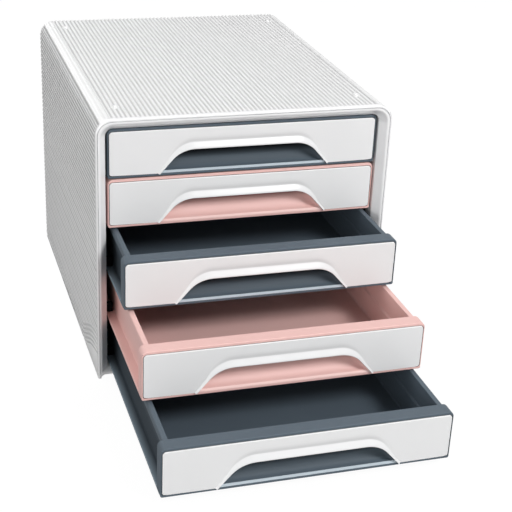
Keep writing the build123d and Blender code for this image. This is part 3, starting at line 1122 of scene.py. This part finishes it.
def slab_outline(shrink):
    """The bezel's outline on its two feet, drawn in at its sides and top."""
    foot_inner = half_width - foot_width
    right = [
        (foot_inner - foot_sweep * (1 - sine), casing_foot + (base_lift - casing_foot) * cosine)
        for sine, cosine in quarter(foot_steps)
    ]
    right.append((half_width - shrink, casing_foot))
    corner = corner_points((flat_half, shoulder), casing_corner - shrink, 0, 90, count=16)
    return mirrored(right + corner)


def bezel_body():
    """The bezel's front slab: a rounded outer edge, and a step that parts it from the shell."""
    step_start = bezel_edge - parting_width
    steps = round_steps(bezel_round, 6) + [
        (step_start - parting_softening, 0.0), (step_start, parting_softening),
        (step_start + parting_step, parting_depth), (bezel_edge, parting_depth),
    ]
    return lofted([upright(slab_outline(shrink), front + depth) for depth, shrink in steps])


def arch_outline(half, bottom, top, radius):
    """A rectangle with its two upper corners rounded."""
    arc = corner_points((half - radius, top - radius), radius, 0, 90, count=10)
    return mirrored([(half, bottom)] + arc)


def sleeve_solid():
    """The bezel's sleeve that reaches into the shell."""
    inset = shell_wall + fit_gap
    outline = arch_outline(inner_half, base_lift, casing_top - inset, casing_corner - inset)
    ends = (front + bezel_edge - sleeve_overlap, front + sleeve_end)
    return lofted([upright(outline, y) for y in ends])


def line_cutter():
    """The fine line round the bezel's front, near its outer edge."""
    line = []
    for inset in (bezel_line_inset, bezel_line_inset + bezel_line_width):
        side = slab_outline(inset)[foot_steps + 1:-foot_steps - 1]
        side[0], side[-1] = (side[0][0], base_lift), (side[-1][0], base_lift)
        side = [(x, z - bezel_line_drop * max(0.0, (z - casing_top) / casing_corner + 1))
                for x, z in side]
        line += side[::-1] if line else side
    return lofted([upright(line, front - bezel_overrun), upright(line, front + bezel_line_depth)])


def opening_cutter():
    """The bezel's opening: a rounded crest, the bevel that leads in, and straight walls behind."""
    slope = bevel_width / fascia_recess
    steps = [(depth, bevel_width - slope * max(depth, 0.0) + extra) for depth, extra in bevel_crest]
    steps += [(fascia_recess, 0.0), (sleeve_end + bezel_overrun, 0.0)]
    loops = []
    for depth, grown in steps:
        bottom = opening_bottom - bevel_foot * max(0.0, 1 - max(depth, 0.0) / fascia_recess)
        outline = arch_outline(
            opening_half + grown, bottom, opening_top + grown, opening_corner + grown,
        )
        loops.append(upright(outline, front + depth))
    return lofted(loops)


def make_bezel(finishes):
    """The casing's smooth front frame."""
    piece = as_object(bezel_body(), "casing_bezel")
    combine(piece, sleeve_solid(), "UNION")
    combine(piece, line_cutter(), "DIFFERENCE")
    combine(piece, opening_cutter(), "DIFFERENCE")
    finish_piece(piece, finishes["bezel"], sharp_angle=35)
    even_normals(piece)
    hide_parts("front_bezel")
    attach(piece, "casing")


def dress_cad_nodes(finishes):
    """Finishes of the CAD nodes that stay in view as they are."""
    plain = {"back_panel": "shell", "base_panel": "black"}
    for side in ("left", "right"):
        plain[f"runner_panel_{side}"] = "black"
        for end in ("front", "rear"):
            plain[f"foot_pad_{end}_{side}"] = "rubber"
    for node, finish in plain.items():
        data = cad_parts[node].data
        data.materials.clear()
        data.materials.append(finishes[finish])


def make_camera():
    """The camera: turned about its target by azimuth, elevation and roll."""
    azimuth, elevation, roll = map(math.radians, (camera_azimuth, camera_elevation, camera_roll))
    back = Vector((
        math.sin(azimuth) * math.cos(elevation), -math.cos(azimuth) * math.cos(elevation),
        math.sin(elevation),
    ))
    right = (-back).cross(Vector((0, 0, 1))).normalized()
    up = right.cross(-back)
    image_right = right * math.cos(roll) + up * math.sin(roll)
    image_up = up * math.cos(roll) - right * math.sin(roll)
    data = bpy.data.cameras.new("camera")
    data.sensor_width = sensor_width
    data.lens = sensor_width * camera_focal / image_side
    data.shift_y = (image_middle_row - image_side / 2) / image_side
    data.clip_start = 0.05
    data.clip_end = 20
    camera = in_scene("camera", data)
    place = camera_target + back * camera_distance
    turn = Matrix((image_right, image_up, back)).transposed().to_4x4()
    camera.matrix_world = Matrix.Translation(place) @ turn
    bpy.context.scene.camera = camera


def make_lamps():
    """The studio's area lamps, each aimed at a point."""
    for name, (place, aim, size, power) in lamps.items():
        place, aim = (Vector([value * MM for value in point]) for point in (place, aim))
        data = bpy.data.lights.new(name, "AREA")
        data.shape = "RECTANGLE"
        data.size, data.size_y = size
        data.energy = power
        lamp = in_scene(name, data)
        lamp.location = place
        lamp.rotation_euler = (aim - place).to_track_quat("-Z", "Y").to_euler()


def make_surround():
    """White to the camera and in reflections, and a dimmer light from all around."""
    world = bpy.data.worlds.new("studio")
    world.use_nodes = True
    bpy.context.scene.world = world
    nodes = Nodes(world.node_tree)
    backdrop = nodes.tree.nodes["Background"]
    nodes.feed(backdrop.inputs["Color"], white)
    nodes.feed(backdrop.inputs["Strength"], 1.0)
    # Only a level that hangs on the direction, even by a slope of 0, is sampled as a light, and the
    # reflections depend on that
    direction = nodes.add("ShaderNodeTexCoord", output="Generated")
    sideways = nodes.add("ShaderNodeSeparateXYZ", {}, {0: direction})
    level = sideways.math("MULTIPLY_ADD", sideways, surround_slope, surround_level)
    ambient = nodes.add("ShaderNodeBackground", {}, {"Color": white, "Strength": level})
    camera_ray = nodes.add("ShaderNodeLightPath", output="Is Camera Ray")
    glossy_ray = nodes.add("ShaderNodeLightPath", output="Is Glossy Ray")
    seen = camera_ray.math("MAXIMUM", camera_ray, glossy_ray)
    shaders = {0: seen, 1: ambient, 2: Value(nodes, backdrop.outputs[0])}
    mixed = nodes.add("ShaderNodeMixShader", {}, shaders)
    nodes.feed(nodes.tree.nodes["World Output"].inputs[0], mixed)


def make_floor():
    """A white floor that fades into the surround and still shows the shadows."""
    bm = bmesh.new()
    bmesh.ops.create_grid(bm, x_segments=1, y_segments=1, size=floor_size)
    finish = Finish("floor_white")
    finish.set(Base_Color=colour(floor_tone, floor_tone, floor_tone), Roughness=floor_roughness)
    camera_ray = finish.add("ShaderNodeLightPath", output="Is Camera Ray")
    glow = finish.add("ShaderNodeEmission", {}, {"Color": white, "Strength": floor_glow})
    share = camera_ray * floor_glow_share
    plain = Value(finish, finish.surface.outputs[0])
    mixed = finish.add("ShaderNodeMixShader", {}, {0: share, 1: plain, 2: glow})
    finish.feed(finish.tree.nodes["Material Output"].inputs["Surface"], mixed)
    floor = as_object(bm, "floor")
    finish_piece(floor, finish.material, sharp_angle=40)


finishes = {use: moulded(**plastic) for use, plastic in plastics.items()}
make_camera()
make_lamps()
make_surround()
make_floor()
make_shell(finishes)
make_bezel(finishes)
make_trays(finishes)
for drawer in drawers:
    make_fascia(drawer, finishes)
dress_cad_nodes(finishes)

bpy.context.scene.view_settings.view_transform = "Standard"
